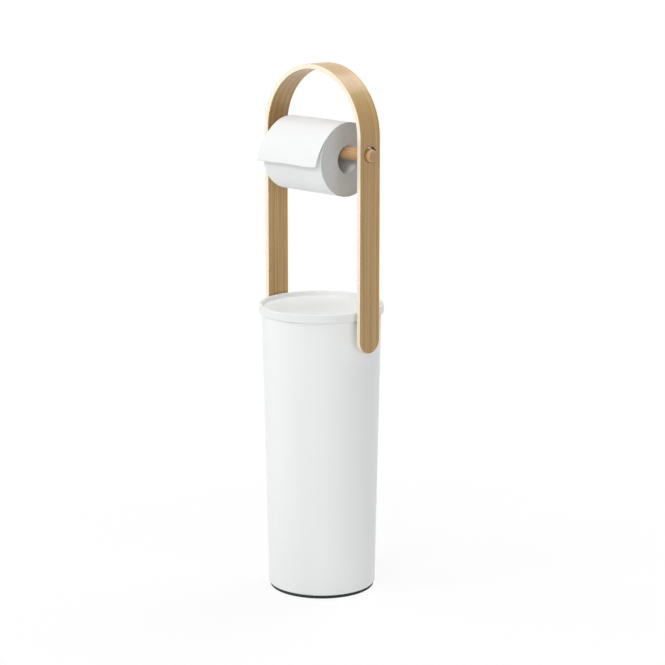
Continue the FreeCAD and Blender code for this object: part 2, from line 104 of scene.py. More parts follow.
# %% A value on its way through a node tree
class Flow:
    """A node's output. Sums, products and named operations with it add Math nodes to its tree."""

    def __init__(self, recipe, socket):
        self.recipe = recipe
        self.socket = socket

    def math(self, operation, first, second=0.0, clamp=False):
        """One Math node, whose result may be held between 0 and 1."""
        settings = {"operation": operation, "use_clamp": clamp}
        return self.recipe.add("ShaderNodeMath", settings, {0: first, 1: second})

    def __add__(self, other):
        return self.math("ADD", self, other)

    def __sub__(self, other):
        return self.math("SUBTRACT", self, other)

    def __rsub__(self, other):
        return self.math("SUBTRACT", other, self)

    def __mul__(self, other):
        return self.math("MULTIPLY", self, other)

    def __truediv__(self, other):
        return self.math("DIVIDE", self, other)

    __radd__ = __add__
    __rmul__ = __mul__

    def to(self, operation, other=0.0):
        """Any other operation of one or two values, by its name."""
        return self.math(operation, self, other)

    def clamped(self):
        """The value, held between 0 and 1."""
        return self.math("ADD", self, 0.0, clamp=True)

    def over(self, limit, steepness):
        """0 up to a limit, and from there up to 1 at this steepness."""
        return ((self - limit) * steepness).clamped()

    def under(self, limit, steepness):
        """0 down to a limit, and from there up to 1 at this steepness."""
        return ((limit - self) * steepness).clamped()

    def from_whole(self):
        """How far the value is from the nearest whole number."""
        return ((self + 0.5).to("FRACT") - 0.5).to("ABSOLUTE")


def off_axis(first, second):
    """How far a point is from an axis: the root of the sum of its two offsets' squares."""
    return (first * first + second * second).to("SQRT")


print("Flow knows", [name for name in vars(Flow) if not name.startswith("_")])

# %% The tree that the values run through
class Recipe:
    """A node tree that grows by one node at a time."""

    def __init__(self, tree):
        self.tree = tree
        tree.nodes.clear()

    def add(self, kind, settings=(), sockets=(), output=0):
        """Adds a node of this type, makes its settings, and sets or links its sockets."""
        node = self.tree.nodes.new(kind)
        for name, setting in dict(settings).items():
            setattr(node, name, setting)
        for name, source in dict(sockets).items():
            if isinstance(source, Flow):
                self.tree.links.new(source.socket, node.inputs[name])
            else:
                node.inputs[name].default_value = source
        return Flow(self, node.outputs[output]) if node.outputs else node

    def split(self, vector):
        """The three parts of a vector."""
        parts = self.add("ShaderNodeSeparateXYZ", (), {0: vector})
        return [Flow(self, socket) for socket in parts.socket.node.outputs]

    def in_mm(self, place):
        """The three parts, in millimetres, of a place in metres."""
        scaled = self.add("ShaderNodeVectorMath", {"operation": "SCALE"}, {0: place, "Scale": 1 / MM})
        return self.split(scaled)

    def place(self):
        """The point's own place on the stand, in millimetres."""
        return self.in_mm(self.add("ShaderNodeTexCoord", output=3))

    def counted(self, place, size_mm):
        """A place as a vector that counts how often a pattern's size goes into each of its parts."""
        parts = {part: way / size for part, (way, size) in enumerate(zip(place, size_mm))}
        return self.add("ShaderNodeCombineXYZ", (), parts)

    def noise(self, place, size_mm, detail=2.0, roughness=0.5):
        """Cloudy noise between 0 and 1, with clouds of about this size along each part of the place."""
        spot = self.counted(place, size_mm)
        sockets = {"Vector": spot, "Scale": 1.0, "Detail": detail, "Roughness": roughness}
        return self.add("ShaderNodeTexNoise", (), sockets)

    def mix(self, share, first, second):
        """A colour between two others."""
        sockets = {0: share, 6: first, 7: second}
        return self.add("ShaderNodeMix", {"data_type": "RGBA"}, sockets, output=2)


print("Recipe knows", [name for name in vars(Recipe) if not name.startswith("_")])

# %% [markdown]
# ## One start for every finish
# Each material is one Principled shader. What is the same all over, such as how strongly the lacquer
# reflects, is set on the shader's own sockets. What varies is worked out from the place on the object, in
# millimetres, so a pattern keeps its real scale on every piece.

# %% A finish with one Principled shader
class Finish(Recipe):
    """A material with one Principled shader, whose sockets are set here or fed later."""

    def __init__(self, name, **constants):
        self.material = bpy.data.materials.new(name)
        self.material.use_nodes = True
        super().__init__(self.material.node_tree)
        sockets = {socket.replace("_", " "): setting for socket, setting in constants.items()}
        surface = self.add("ShaderNodeBsdfPrincipled", (), sockets)
        self.shader = surface.socket.node
        self.add("ShaderNodeOutputMaterial", (), {"Surface": surface})

    def feed(self, socket, flow):
        """Links what varies over the surface to one of the shader's sockets."""
        self.tree.links.new(flow.socket, self.shader.inputs[socket])

    def relief(self, height, depth_mm, strength=1.0):
        """Fine relief: height runs from 0 to 1 and stands for this depth in millimetres."""
        sockets = {"Height": height, "Distance": depth_mm * MM, "Strength": strength}
        self.feed("Normal", self.add("ShaderNodeBump", (), sockets))


def seen(red, green, blue):
    """A colour as a screen shows it, from 0 to 255, as the linear numbers that a shader takes."""
    screen = np.array([red, green, blue]) / 255
    linear = np.where(screen < 0.04045, screen / 12.92, ((screen + 0.055) / 1.055) ** 2.4)
    return (*linear.tolist(), 1.0)


def dress(finish, *names):
    """Gives pieces of the frame a finish, in place of the plain one that they came with."""
    for name in names:
        nodes[name].material_slots[0].material = finish.material


print("screen grey 128 is", round(seen(128, 128, 128)[0], 3), "in linear light")

# %% [markdown]
# ## White moulded plastic
# The canister, its lid and the two spacers are satin plastic: almost one colour, but a moulded wall is
# never quite even. A mould's surface leaves a very fine grain that softens reflections, and handling leaves
# faint cloudy changes in gloss. Large soft clouds change the tone by about one part in a hundred. The lid,
# which is made further on, gets a slightly greyer and duller plastic, so that its flat tray isn't whitened
# by glare.

# %% Satin plastic
WHITE = seen(240, 242, 242)
WHITE_SHADE = seen(238, 240, 239)
CANISTER_SHINE = 0.32


def satin_plastic(name, light, shade, shine):
    """Satin plastic: two near whites in soft clouds, uneven gloss and a fine moulded grain."""
    plastic = Finish(name, Specular_IOR_Level=shine)
    place = plastic.place()
    clouds = plastic.noise(place, size_mm=(55, 55, 90), detail=3.0)
    plastic.feed("Base Color", plastic.mix(clouds, shade, light))
    handling = plastic.noise(place, size_mm=(18, 18, 26), detail=4.0, roughness=0.6)
    plastic.feed("Roughness", 0.36 + 0.12 * handling)
    grain = plastic.noise(place, size_mm=(0.7, 0.7, 0.7))
    plastic.relief(grain, depth_mm=0.012)
    return plastic


canister_white = satin_plastic("canister_white", WHITE, WHITE_SHADE, CANISTER_SHINE)
dress(canister_white, "canister_body", "right_saddle", "left_saddle")
print("plastic on the canister and two spacers")

# %% [markdown]
# ## The non-slip pad
# Under the canister is a disc of black foam rubber. It is matt, and its surface is a skin of closed pores,
# so small pits set the relief, and the colour is painted lighter on the pores' rims than on their floors,
# as painted shade in the pits.

# %% Foam rubber
FOAM_DARK = seen(36, 38, 38)
FOAM_LIGHT = seen(64, 67, 66)


def foam_rubber():
    """Black foam rubber: cell-shaped pits of about a millimetre, with painted shade at their bottoms."""
    foam = Finish("foam_rubber", Specular_IOR_Level=0.3)
    place = foam.place()
    cells = foam.counted(place, size_mm=(0.9, 0.9, 0.9))
    pits = foam.add("ShaderNodeTexVoronoi", (), {"Vector": cells, "Scale": 1.0})
    dust = foam.noise(place, size_mm=(7, 7, 7), detail=3.0)
    # Painted shade: the pits' floors are darker than their rims.
    foam.feed("Base Color", foam.mix((0.6 * pits + 0.4 * dust).clamped(), FOAM_DARK, FOAM_LIGHT))
    foam.feed("Roughness", 0.78 + 0.15 * dust)
    foam.relief(pits, depth_mm=0.08, strength=0.6)
    return foam


dress(foam_rubber(), "base_pad")
print("foam rubber on the pad")

# %% [markdown]
# ## Wood that follows the bend
# The arch is a stack of pale plies bent over a form, with a tan veneer on the inner and the outer face. Its
# grain runs along the strip, round the bend too, so a pattern in plain X, Y and Z would cut across it.
# Instead three values are worked out at each point: how far along the strip it is, how far across, and how
# deep in the stack. Depth tells veneer from core, and the grain is noise that is stretched a long way along
# the strip. The walls of the two holes for the dowel are painted dark brown: partly scorch from the drill,
# and partly painted shade that stands for the shadow inside the holes.

# %% Strip coordinates and straight grain
STRIP_THICKNESS = 5.9
MIDDLE_RADIUS = ARCH_RADIUS - STRIP_THICKNESS / 2
GRAIN_WANDER = 2.4
PORE_LEVEL = 0.6
PORE_STEEPNESS = 9.0


def strip_place(x, z):
    """How far along the strip a point lies and how deep in the stack, in millimetres.

    Below the spring line the strip is two upright arms, so the distance from the middle plane is |x|. Above
    it the distance is the radius about the spring line's middle. Depth is that distance less the middle
    ply's radius, and the way along is the middle ply's arc from the crown plus the drop below the spring
    line.
    """
    rise = (z - SPRING_HEIGHT).to("MAXIMUM", 0.0)
    drop = (SPRING_HEIGHT - z).to("MAXIMUM", 0.0)
    along = MIDDLE_RADIUS * x.to("ARCTAN2", rise) + x.to("SIGN") * drop
    return along, off_axis(x, rise) - MIDDLE_RADIUS


def straight_grain(wood, along, across, depth):
    """Grain of a plain-sawn board: broad bands, narrow streaks and short open pores, each 0 to 1."""
    wander = GRAIN_WANDER * wood.noise((along, across, depth), size_mm=(130, 30, 6))
    wandered = (along, across + wander, depth)
    bands = wood.noise(wandered, size_mm=(300, 2.4, 5), detail=1.0)
    streaks = wood.noise(wandered, size_mm=(95, 0.85, 1.4), detail=3.0, roughness=0.65)
    pores = wood.noise((along, across, depth), size_mm=(9, 0.26, 0.4))
    return bands, streaks, pores.over(PORE_LEVEL, PORE_STEEPNESS)


print("middle ply's radius", round(MIDDLE_RADIUS, 2))

# %% The two tones of the bent strip
VENEER_THICKNESS = 0.28
PLY_THICKNESS = 1.1
GLUE_SHARE = 1 / 16
FACES_APART = 11.0

HOLE_PLAY = 3.6
REST_GAP = 0.3
HOLE_RADIUS = DOWEL_RADIUS + HOLE_PLAY / 2
HOLE_AXIS = DOWEL_AXIS + HOLE_PLAY / 2 - REST_GAP
SCORCH_AND_SHADE_REACH = 0.35

VENEER_DARK = seen(159, 124, 70)
VENEER_LIGHT = seen(196, 160, 106)
PORE = seen(136, 101, 50)
CORE_DARK = seen(241, 221, 193)
CORE_LIGHT = seen(245, 230, 207)
GLUE = seen(230, 209, 180)
# Dark brown for the holes' walls: partly drill scorch, partly painted shade inside the holes.
SCORCH_AND_PAINTED_SHADE = seen(104, 72, 40)


def bent_wood():
    """The strip: veneer where the depth is near either face, otherwise pale plies with thin glue lines.

    What lies nearer to the dowel holes' axis than their radius, or just beyond it, is painted dark brown:
    partly scorch from the drill, and partly painted shade for the shadow inside the holes.
    """
    wood = Finish("bent_wood", Coat_Weight=0.5, Coat_Roughness=0.22)
    x, across, z = wood.place()
    along, depth = strip_place(x, z)
    face = FACES_APART * depth.to("SIGN")
    bands, streaks, pores = straight_grain(wood, along, across, face)
    tone = (1.9 * bands + 0.9 * streaks - 0.9).clamped()
    veneer = wood.mix(tone, VENEER_DARK, VENEER_LIGHT)
    veneer = wood.mix(0.45 * pores, veneer, PORE)
    core_streaks = wood.noise((along, across, depth), size_mm=(60, 3.0, 0.5), detail=3.0)
    core = wood.mix(core_streaks, CORE_DARK, CORE_LIGHT)
    glue_line = (depth / PLY_THICKNESS).from_whole().under(GLUE_SHARE, steepness=1 / GLUE_SHARE)
    core = wood.mix(0.25 * glue_line, core, GLUE)
    skin = depth.to("ABSOLUTE").over(STRIP_THICKNESS / 2 - VENEER_THICKNESS, steepness=20.0)
    plain = wood.mix(skin, core, veneer)
    # The holes are painted dark: drill scorch, and painted shade where the holes' shadow falls.
    scorch_and_shade = off_axis(across, z - HOLE_AXIS).under(HOLE_RADIUS + SCORCH_AND_SHADE_REACH, steepness=4.0)
    wood.feed("Base Color", wood.mix(scorch_and_shade, plain, SCORCH_AND_PAINTED_SHADE))
    wood.feed("Roughness", 0.44 + 0.1 * streaks + 0.08 * pores)
    wood.relief(skin * (0.5 * streaks + 0.5 * (1 - pores)), depth_mm=0.03, strength=0.5)
    return wood


dress(bent_wood(), "bentwood_arch")
print("veneer and core on the arch, holes of radius", round(HOLE_RADIUS, 2))

# %% [markdown]
# ## The dowel
# A dowel is turned from one stick, so its pattern is a piece of a tree's rings. Rings are drawn round a
# pith that lies outside the rod: along the rod they show as straight lines, and on the cut ends as arcs,
# with no seam between the two. Cut ends soak up more lacquer and come out a little darker.

# %% Turned wood for the dowel
PITH_ACROSS = -19.0
PITH_ABOVE = 27.0
RING_PITCH = 1.9
RING_WANDER = 1.3
END_SOAK = 0.35
DOWEL_DARK = seen(179, 137, 90)
DOWEL_LIGHT = seen(212, 175, 130)
END_GRAIN = seen(150, 108, 66)


def turned_wood():
    """Rings are a wave of the distance from the pith, bent a little by noise along the rod."""
    wood = Finish("turned_wood", Coat_Weight=0.15, Coat_Roughness=0.3)
    place = wood.place()
    x, y, z = place
    wander = RING_WANDER * wood.noise(place, size_mm=(90, 9, 9))
    distance = off_axis(y - PITH_ACROSS, z - (DOWEL_AXIS + PITH_ABOVE)) + wander
    rings = 0.5 + 0.5 * (distance * (2 * math.pi / RING_PITCH)).to("SINE")
    streaks = wood.noise(place, size_mm=(40, 0.7, 0.7), detail=3.0, roughness=0.6)
    pores = wood.noise(place, size_mm=(7, 0.28, 0.28)).over(PORE_LEVEL, PORE_STEEPNESS)
    tone = (0.45 * rings + 0.75 * streaks - 0.1).clamped()
    wood_tone = wood.mix(tone, DOWEL_DARK, DOWEL_LIGHT)
    wood_tone = wood.mix(0.4 * pores, wood_tone, END_GRAIN)
    cut_end = x.to("ABSOLUTE").over(DOWEL_END - END_SOAK, steepness=6.0)
    wood.feed("Base Color", wood.mix(0.4 * cut_end, wood_tone, END_GRAIN))
    wood.feed("Roughness", 0.42 + 0.12 * streaks + 0.12 * cut_end)
    wood.relief(0.6 * streaks + 0.4 * (1 - pores), depth_mm=0.03, strength=0.5)
    return wood


dress(turned_wood(), "dowel")
print("turned wood on the dowel, rings", RING_PITCH, "mm apart")

# %% [markdown]
# ## Turning a grid of points into a mesh
# New pieces are surfaces over two parameters. A function works out all the points at once as an array with
# rows and columns, and this step joins neighbours into quads. A direction that runs all the way round is
# closed by joining its last line to its first. A closed surface that came out inside out is turned round by
# the sign of the volume that it holds.

# %% Quads of a grid, and helpers for its points
def grid_quads(rows, columns, close_rows, close_columns):
    """Corner numbers of a grid's quads. Point (i, j) has the number i times columns plus j."""
    i, j = np.meshgrid(
        np.arange(rows if close_rows else rows - 1),
        np.arange(columns if close_columns else columns - 1),
        indexing="ij",
    )
    below = (i + 1) % rows
    beside = (j + 1) % columns
    corners = (i * columns + j, below * columns + j, below * columns + beside, i * columns + beside)
    return np.stack(corners, axis=-1).reshape(-1, 4)


def held_volume(points, quads):
    """Volume inside a closed surface: a sixth of the sum of its triangles' triple products."""
    a, b, c, d = (points[quads[:, corner]] for corner in range(4))
    triangles = [(a, b, c), (a, c, d)]
    return sum(np.einsum("ij,ij->i", p, np.cross(q, r)).sum() for p, q, r in triangles) / 6


def full_turn(columns):
    """Equal angles all the way round, one for each column."""
    return np.linspace(0, 2 * np.pi, columns, endpoint=False)[None, :]


def joined(*parts):
    """Points from their parts, each spread over the whole grid."""
    return np.stack(np.broadcast_arrays(*parts), axis=-1)


def about_roll(x, radius, angle):
    """Places given along the roll's axis, out from it, and round it from the front, upwards."""
    return joined(x, -radius * np.cos(angle), ROLL_AXIS + radius * np.sin(angle))


print("an open grid of 3 by 4 points has", len(grid_quads(3, 4, False, False)), "quads")

# %% Pieces from grids
SAME_POINT = 0.0005 * MM


def surface_piece(name, grid_mm, close_rows=False, close_columns=False, flip=False):
    """A smooth mesh object through a grid of points in millimetres."""
    rows, columns = grid_mm.shape[:2]
    points = grid_mm.reshape(-1, 3) * MM
    quads = grid_quads(rows, columns, close_rows, close_columns)
    if flip:
        quads = quads[:, ::-1]
    mesh = bpy.data.meshes.new(name)
    mesh.from_pydata(points.tolist(), [], quads.tolist())
    mesh.shade_smooth()
    piece = bpy.data.objects.new(name, mesh)
    bpy.context.scene.collection.objects.link(piece)
    print(name, len(points), "points", len(quads), "quads")
    return piece


def closed_piece(name, grid_mm, close_rows):
    """A closed surface whose faces point outwards, with repeated points, such as poles, joined."""
    rows, columns = grid_mm.shape[:2]
    quads = grid_quads(rows, columns, close_rows, True)
    inside_out = held_volume(grid_mm.reshape(-1, 3), quads) < 0
    piece = surface_piece(name, grid_mm, close_rows, True, flip=inside_out)
    shell = bmesh.new()
    shell.from_mesh(piece.data)
    bmesh.ops.remove_doubles(shell, verts=shell.verts, dist=SAME_POINT)
    shell.to_mesh(piece.data)
    shell.free()
    return piece


print("points within", SAME_POINT, "m of each other are joined")

# %% [markdown]
# ## The lid
# The lid is one moulding: a shallow tray with a raised edge, and a skirt that laps over the canister's rim.
# On a white lid nearly all that is seen is how the light slides over the rounded edges, so those roundings
# have to be smooth. Its section is walked from the middle of the underside out to the skirt, up the side,
# over the raised edge and back across the tray, and each corner is replaced by a quarter circle. Then the
# section is turned about the stand's axis, as on a lathe.

# %% A line with rounded corners
ARC_POINTS = 10
RUN_POINTS = 14


def rounded_line(corners):
    """A line with right-angled corners, given as radius, height and rounding, with the corners rounded.

    From a corner, a and b are the unit directions back and ahead along the line. A rounding of size r is the
    points corner + r(1 - sin t)a + r(1 - cos t)b, with t from 0 to a quarter turn. Points on the straight
    runs crowd towards the roundings, so that the flats are shaded flat.
    """
    places, sizes = corners[:, :2], corners[1:-1, 2, None, None]
    steps = np.diff(places, axis=0)
    steps /= np.linalg.norm(steps, axis=1, keepdims=True)
    t = np.linspace(0, np.pi / 2, ARC_POINTS)[None, :, None]
    back = (1 - np.sin(t)) * -steps[:-1, None]
    ahead = (1 - np.cos(t)) * steps[1:, None]
    arcs = places[1:-1, None] + sizes * (back + ahead)
    starts = np.concatenate([places[:1], arcs[:, -1]])[:, None]
    ends = np.concatenate([arcs[:, 0], places[-1:]])[:, None]
    share = (1 - np.cos(np.linspace(0, np.pi, RUN_POINTS)[None, :-1, None])) / 2
    runs = starts + share * (ends - starts)
    rounded = np.concatenate([runs[:-1], arcs], axis=1).reshape(-1, 2)
    return np.concatenate([rounded, runs[-1], places[-1:]])


print("each rounding has", ARC_POINTS, "points")

# %% The lid's section, turned about the stand's axis
LID_WEB = 2.0
TRAY_DEPTH = 6.0
SKIRT_WALL = 2.5
TRAY_RIM = 2.9
INSIDE_ROUND = 0.3
SKIRT_ROUND = 1.8
RIM_ROUND = 1.35
TRAY_ROUND = 1.2
LID_COLUMNS = 256
LID_WHITE = seen(235, 237, 237)
LID_SHADE = seen(233, 235, 234)
LID_SHINE = 0.12


def lid_grid():
    """Rows run along the section, columns round the stand's axis.

    A point of the section at radius r and height h lies at r cos a, r sin a and h for each angle a.
    """
    low, high = box_mm("lid")
    radius, skirt, top = high[0], low[2], high[2]
    tray = top - TRAY_DEPTH
    corners = np.array([
        (0.0, tray - LID_WEB, 0.0),
        (radius - SKIRT_WALL, tray - LID_WEB, INSIDE_ROUND),
        (radius - SKIRT_WALL, skirt, INSIDE_ROUND),
        (radius, skirt, SKIRT_ROUND),
        (radius, top, RIM_ROUND),
        (radius - TRAY_RIM, top, RIM_ROUND),
        (radius - TRAY_RIM, tray, TRAY_ROUND),
        (0.0, tray, 0.0),
    ])
    section = rounded_line(corners)
    angle = full_turn(LID_COLUMNS)
    return joined(section[:, :1] * np.cos(angle), section[:, :1] * np.sin(angle), section[:, 1:])


lid_cap = closed_piece("lid_cap", lid_grid(), close_rows=False)
lid_cap.data.materials.append(satin_plastic("lid_white", LID_WHITE, LID_SHADE, LID_SHINE).material)
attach(lid_cap, "lid")
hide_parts("lid")
print("the turned lid stands for lid")

# %% [markdown]
# ## The wound paper
# A roll is hundreds of turns of tissue, and its ends show it: the edges of the turns never line up exactly,
# so the end is a field of fine spiral ridges. One closed profile is carried round the axis: out across one
# end, along the outside, in across the other end and back through the bore. On the ends each point is
# pushed in or out by a height that depends on which turn of the spiral it lies in.

# %% The roll's body
SHEET_THICKNESS = 0.2
SPIRAL_STEP = 0.2
SHEET_PLAY = 0.02
BODY_RADIUS = ROLL_RADIUS - SPIRAL_STEP - SHEET_THICKNESS - SHEET_PLAY
WIND_GAP = 0.05
BORE_RADIUS = CORE_RADIUS + WIND_GAP
FIRST_TURN = 2
TURN_PITCH = 0.85
TURN_LIFT = 0.06
SWAY_SHARE = 0.5
FADE_POWER = 0.3
EDGE_ROUND = 0.15
END_INSET = 0.05
SKIN_INSET = 0.6
END_POINTS = 96
ROUND_POINTS = 320
SKIN_POINTS = 10

random = np.random.default_rng(384)


def turn_lift(radius, angle):
    """How far a point of the end stands out: a ridge of random height along its turn, and a slow sway.

    The turn's number grows by one per pitch outwards and falls by one per way round, which makes a spiral.
    The sway is a wave with two crests round the end and a smaller one with three that shifts outwards.
    """
    turn = FIRST_TURN + (radius - CORE_RADIUS) / TURN_PITCH - angle / (2 * np.pi)
    number = np.floor(turn).astype(int)
    heights = random.normal(size=number.max() + 2)
    ridge = 1 - 2 * np.abs(turn - number - 0.5)
    sway = np.sin(2 * angle + 0.6) + 0.6 * np.sin(3 * angle + radius / 9)
    return TURN_LIFT * (heights[number] * ridge + SWAY_SHARE * sway)


def roll_body_grid():
    """Rows run round the section, columns round the axis.

    On the ends the turns' lift fades to nothing at the bore and at the outside, by a power of a half wave,
    and the last bit before the outside sinks in by the square of how near it is.
    """
    angle = full_turn(ROUND_POINTS)
    radius = np.linspace(BORE_RADIUS, BODY_RADIUS, END_POINTS)[:, None]
    fade = np.sin(np.pi * np.linspace(0, 1, END_POINTS)[:, None]) ** FADE_POWER
    sink = EDGE_ROUND * np.clip(1 - (BODY_RADIUS - radius) / EDGE_ROUND, 0, 1) ** 2
    right = about_roll(ROLL_RIGHT - END_INSET + fade * turn_lift(radius, angle) - sink, radius, angle)
    left = about_roll(ROLL_LEFT + END_INSET - fade * turn_lift(radius, angle) + sink, radius, angle)
    along = np.linspace(ROLL_RIGHT - SKIN_INSET, ROLL_LEFT + SKIN_INSET, SKIN_POINTS)[:, None]
    outside = about_roll(along, BODY_RADIUS, angle)
    bore = about_roll(along[::-1], BORE_RADIUS, angle)
    return np.concatenate([right, outside, left[::-1], bore])


wound_paper = closed_piece("wound_paper", roll_body_grid(), close_rows=True)

# %% [markdown]
# ## The ends of the turns
# Cut tissue edges look greyer than the sheet's face, because light sinks in between the turns. Fine rings
# follow the spiral: noise that is stretched all the way round and squeezed from turn to turn.

# %% Finish of the roll's ends
TURNS_DARK = seen(184, 187, 186)
TURNS_LIGHT = seen(219, 222, 221)


def tissue_turns():
    """Rings of noise over the distance from the roll's axis, with slow change round it."""
    paper = Finish("tissue_turns", Roughness=0.95, Specular_IOR_Level=0.15)
    x, y, z = paper.place()
    above = z - ROLL_AXIS
    ring_place = (off_axis(y, above), y, above)
    rings = paper.noise(ring_place, size_mm=(0.32, 40, 40), detail=3.0, roughness=0.7)
    patches = paper.noise((x, y, above), size_mm=(9, 9, 9))
    lint = paper.noise((x, y, above), size_mm=(0.35, 0.35, 0.35))
    tone = (0.55 * rings + 0.3 * patches + 0.15 * lint) * 1.4 - 0.2
    paper.feed("Base Color", paper.mix(tone.clamped(), TURNS_DARK, TURNS_LIGHT))
    paper.relief(0.5 * rings + 0.5 * lint, depth_mm=0.06, strength=0.5)
    return paper


wound_paper.data.materials.append(tissue_turns().material)
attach(wound_paper, "roll")
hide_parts("paper_roll")
print("the wound paper stands for paper_roll")

# %% [markdown]
# ## The outermost turn and its loose end
# The last turn and the loose end are one sheet. Seen from the side it follows the roll once round, then
# leaves on a wider circle that is tangent to the roll, because tissue that was wound keeps some of its
# curl. The end was torn along a line of small cuts. It wanders a little, the right corner has gone with the
# torn-off piece, and what is left of each bridge between two cuts is a tiny tab.

# %% The torn end
TAB_PITCH = 4.9
TAB_LENGTH = 0.7
TAB_HALF_WIDTH = 0.55
LEAST_TAB = 0.4
# Height, length and start of each wave.
EDGE_WAVES = [(0.25, 11.0, 0.0), (0.18, 4.3, 1.0)]


def torn_edge(across):
    """How far the torn end stands out at places across the sheet: two slow waves, and a tab per bridge."""
    bridge = np.abs((across / TAB_PITCH) % 1 - 0.5)
    tab = np.clip(1 - bridge * TAB_PITCH / TAB_HALF_WIDTH, 0, 1)
    size = LEAST_TAB + (1 - LEAST_TAB) * random.random(int(ROLL_LENGTH / TAB_PITCH) + 2)
    wave = sum(height * np.sin(across / length + start) for height, length, start in EDGE_WAVES)
    return TAB_LENGTH * tab * size[(across / TAB_PITCH).astype(int)] + wave


print("a tab every", TAB_PITCH, "mm")

# %% The sheet as a function of the way across and the way along
LEAVE_ANGLE = math.radians(53.9)
FREE_LENGTH = 51.4
CURL_RADIUS = 73.8
SHORT_OF_ROUND = 4.0
SHEET_LENGTH = FREE_LENGTH + 2 * math.pi * ROLL_RADIUS - SHORT_OF_ROUND
CORNER_TORN = 2.2
CORNER_POWER = 40
EDGE_FADE = 1.2
RIPPLE_HEIGHT = 0.12
RIPPLE_ACROSS = 17
RIPPLE_ALONG = 23
RIPPLE_REACH = 60
FLUTTER_HEIGHT = 0.35
FLUTTER_ACROSS = 13
FLUTTER_START = 0.8
FINE_LENGTH = 1.25 * FREE_LENGTH
FINE_POINTS = 72
WRAP_POINTS = 150
WIDTH_POINTS = 217


def outer_sheet_grid():
    """Rows run along the sheet from its free end, columns across it.

    On the roll the angle grows with the way along and the radius shrinks by a spiral's step, with a faint
    ripple past the leaving line. Before that line the point lies on a circle of the free curve's radius,
    whose middle is on the line from the roll's axis to the leaving point, and flutters more towards the
    torn end.
    """
    share = np.linspace(0, 1, WIDTH_POINTS)[None, :]
    x = ROLL_LEFT + ROLL_LENGTH * share
    free = FREE_LENGTH - CORNER_TORN * share ** CORNER_POWER
    near = np.linspace(0, FINE_LENGTH, FINE_POINTS, endpoint=False)
    far = np.linspace(FINE_LENGTH, SHEET_LENGTH, WRAP_POINTS)
    along = np.concatenate([near, far])[:, None]
    along = along - torn_edge(x - ROLL_LEFT) * np.exp(-along / EDGE_FADE)
    beyond = np.clip(free - along, 0, None)
    wound = np.clip(along - free, 0, None)
    radius = ROLL_RADIUS - SPIRAL_STEP * wound / (2 * np.pi * ROLL_RADIUS)
    swell = np.sin(np.pi * np.clip(wound / RIPPLE_REACH, 0, 1))
    ripple = RIPPLE_HEIGHT * np.sin(x / RIPPLE_ACROSS + wound / RIPPLE_ALONG) * swell
    on_roll = about_roll(x, radius + ripple, LEAVE_ANGLE + wound / ROLL_RADIUS)
    heading = LEAVE_ANGLE - beyond / CURL_RADIUS
    flutter = FLUTTER_HEIGHT * (beyond / free) ** 2 * np.sin(x / FLUTTER_ACROSS + FLUTTER_START)
    middle = about_roll(x, ROLL_RADIUS - CURL_RADIUS, LEAVE_ANGLE)
    spoke = about_roll(x, CURL_RADIUS + flutter, heading) - about_roll(x, 0, heading)
    return np.where((along < free)[..., None], middle + spoke, on_roll), along


sheet_grid, sheet_along = outer_sheet_grid()
outer_sheet = surface_piece("outer_sheet", sheet_grid)
print("sheet", round(ROLL_LENGTH, 1), "by", round(SHEET_LENGTH, 1), "mm")

# %% [markdown]
# ## Tissue
# Tissue is creped: a blade scrapes it off a hot drum and folds it into fine bars that run across the sheet.
# The bars follow the sheet and not the room, so the sheet carries its own map of places, across and along,
# in metres. A faint dashed line every 118 mm is where the next sheet tears off.

# %% The sheet's own map and its finish
FLAT_MAP = "flat_sheet"
TEAR_LENGTH = 118.0
CUT_WIDTH = 0.35
BRIDGE_SHARE = 1 / 15
TISSUE_LIGHT = seen(236, 238, 238)
TISSUE_SHADE = seen(232, 234, 234)


def lay_map(piece, across_mm, along_mm):
    """Gives each corner of each face its place on the flat sheet, in metres."""
    places = joined(across_mm, along_mm).reshape(-1, 2) * MM
    corner_points = np.empty(len(piece.data.loops), dtype=np.int32)
    piece.data.loops.foreach_get("vertex_index", corner_points)
    flat_map = piece.data.uv_layers.new(name=FLAT_MAP)
    flat_map.uv.foreach_set("vector", places[corner_points].astype(np.float32).ravel())


def creped_tissue():
    """Fine bars across the sheet, loose fibres, soft clouds and a dashed line of cuts at each tear."""
    paper = Finish("creped_tissue", Roughness=0.92, Specular_IOR_Level=0.2)
    across, along, _ = paper.in_mm(paper.add("ShaderNodeUVMap", {"uv_map": FLAT_MAP}))
    bars = paper.noise((across, along), size_mm=(5.0, 0.5))
    fibres = paper.noise((across, along), size_mm=(0.9, 0.9), detail=4.0, roughness=0.65)
    clouds = paper.noise((across, along), size_mm=(12, 12))
    from_tear = (along / TEAR_LENGTH).from_whole() * TEAR_LENGTH
    past_end = along.over(TEAR_LENGTH / 2, steepness=1.0)
    cut = from_tear.under(CUT_WIDTH, steepness=1 / CUT_WIDTH) * past_end
    off_bridge = (across / TAB_PITCH + 0.5).from_whole().over(BRIDGE_SHARE, steepness=12.0)
    slit = cut * off_bridge
    tone = (0.4 * fibres + 0.6 * clouds) * 1.3 - 0.15
    face = paper.mix(tone.clamped(), TISSUE_SHADE, TISSUE_LIGHT)
    paper.feed("Base Color", paper.mix(0.35 * slit, face, TURNS_DARK))
    paper.relief((0.55 * bars + 0.45 * fibres) * (1 - slit), depth_mm=0.09, strength=0.55)
    return paper


lay_map(outer_sheet, sheet_grid[..., 0] - ROLL_LEFT, sheet_along)
outer_sheet.data.materials.append(creped_tissue().material)
print("creped tissue on the sheet, a line of cuts every", TEAR_LENGTH, "mm")

# %% The sheet's thickness and its place on the roll
thickness = outer_sheet.modifiers.new("thickness", "SOLIDIFY")
thickness.thickness = SHEET_THICKNESS * MM
thickness.offset = -1.0
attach(outer_sheet, "roll")
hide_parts("paper_tail")

